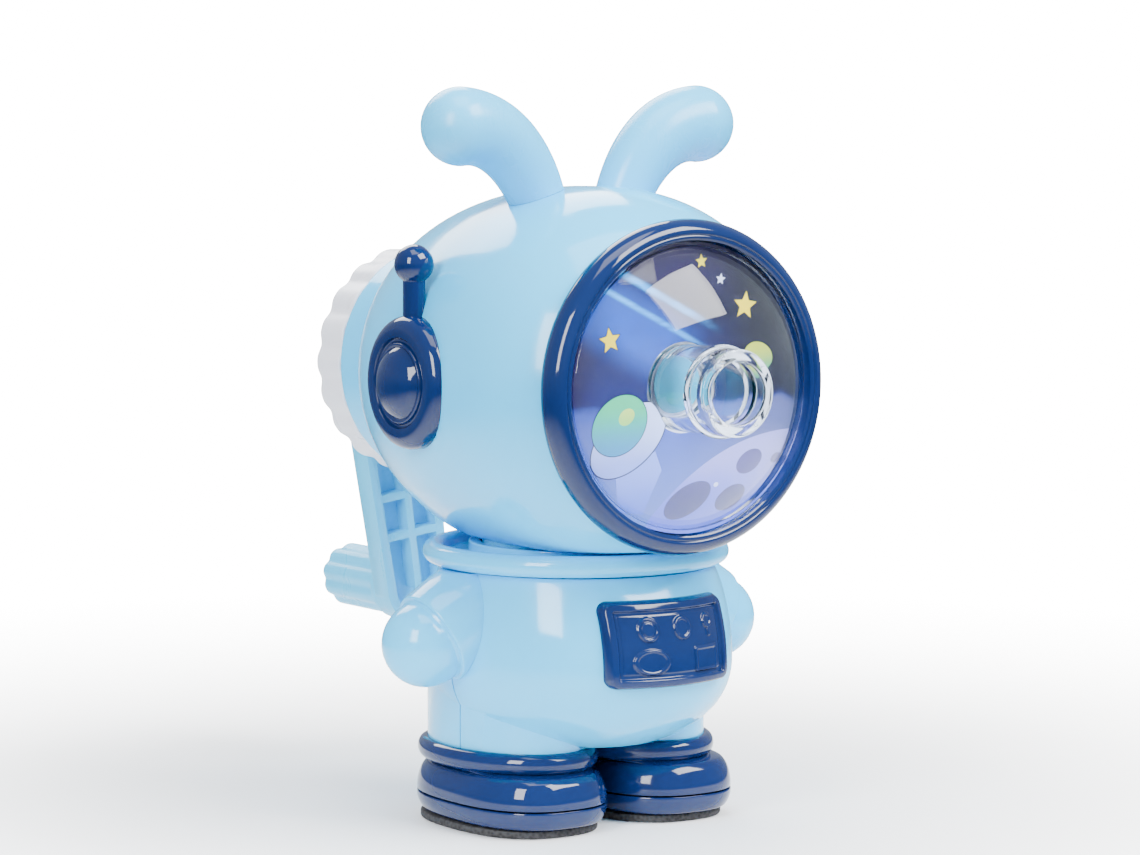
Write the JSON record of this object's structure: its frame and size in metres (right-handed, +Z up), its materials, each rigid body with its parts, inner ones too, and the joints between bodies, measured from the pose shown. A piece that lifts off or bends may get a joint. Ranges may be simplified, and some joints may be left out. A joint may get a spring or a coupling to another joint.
{
  "type": "pencil sharpener",
  "caption": "Hand-cranked pencil sharpener shaped like a small long-eared space traveller, whose body is the shavings bin.",
  "frame": {"origin": "centre of the outer box, at the level of the soles", "axes": "+Z up, -Y the face that the pencil goes into, +Y towards the crank, +X to the right seen from the front"},
  "size_m": [0.0754, 0.1324, 0.1262],
  "materials": {
    "shell_blue": "glossy light sky-blue moulded ABS",
    "crank_blue": "satin pale ice-blue moulded plastic",
    "white_plastic": "white moulded plastic with a faint cool tint",
    "navy_gloss": "polished dark navy moulded plastic",
    "clear_plastic": "clear moulded styrene",
    "printed_card": "printed card with a night-sky scene",
    "black_foam": "matte black foam rubber",
    "steel": "machined steel",
    "brass": "turned brass"
  },
  "bodies": {
    "torso": {"torso_front": "shell_blue", "torso_back": "shell_blue", "neck_ring": "shell_blue", "arm_left": "shell_blue", "arm_right": "shell_blue", "belly_panel": "navy_gloss", "shoe_left": "navy_gloss", "shoe_right": "navy_gloss", "shoe_base_left": "navy_gloss", "shoe_base_right": "navy_gloss", "sole_left": "black_foam", "sole_right": "black_foam"},
    "head": {"head_shell": "shell_blue", "rear_collar": "shell_blue", "ear_left": "shell_blue", "ear_right": "shell_blue", "headphone_left": "navy_gloss", "headphone_right": "navy_gloss", "visor_ring": "navy_gloss", "visor_dome": "clear_plastic", "star_card": "printed_card", "pencil_guide": "white_plastic"},
    "mechanism": {"grip_cap": "white_plastic", "cutter_cage": "white_plastic", "ring_gear": "white_plastic", "shaft_bush": "brass"},
    "crank": {"cutter_carrier": "white_plastic", "cutter_pin": "steel", "crank_arm": "crank_blue", "hub_screw": "steel"},
    "cutter": {"helical_cutter": "steel", "cutter_pinion": "white_plastic"},
    "knob": {"knob": "crank_blue"}
  },
  "joints": [
    {"name": "head_lift", "type": "slide", "parent": "torso", "child": "head", "axis": [0, 0, 1], "range_m": [0, 0.05]},
    {"name": "mechanism_pull", "type": "slide", "parent": "head", "child": "mechanism", "axis": [0, 1, 0], "range_m": [0, 0.06]},
    {"name": "crank_turn", "type": "hinge", "parent": "mechanism", "child": "crank", "pos_m": [0, 0.03825, 0.0765], "axis": [0, 1, 0], "continuous": true},
    {"name": "cutter_spin", "type": "hinge", "parent": "crank", "child": "cutter", "pos_m": [0, 0.02534, 0.0765], "axis": [0, 0.9806, -0.1959], "continuous": true},
    {"name": "knob_spin", "type": "hinge", "parent": "crank", "child": "knob", "pos_m": [0.00574, 0.056, 0.03288], "axis": [0, 1, 0], "continuous": true}
  ],
  "couplings": [
    {"joint": "cutter_spin", "follows": "crank_turn", "ratio": -3}
  ]
}
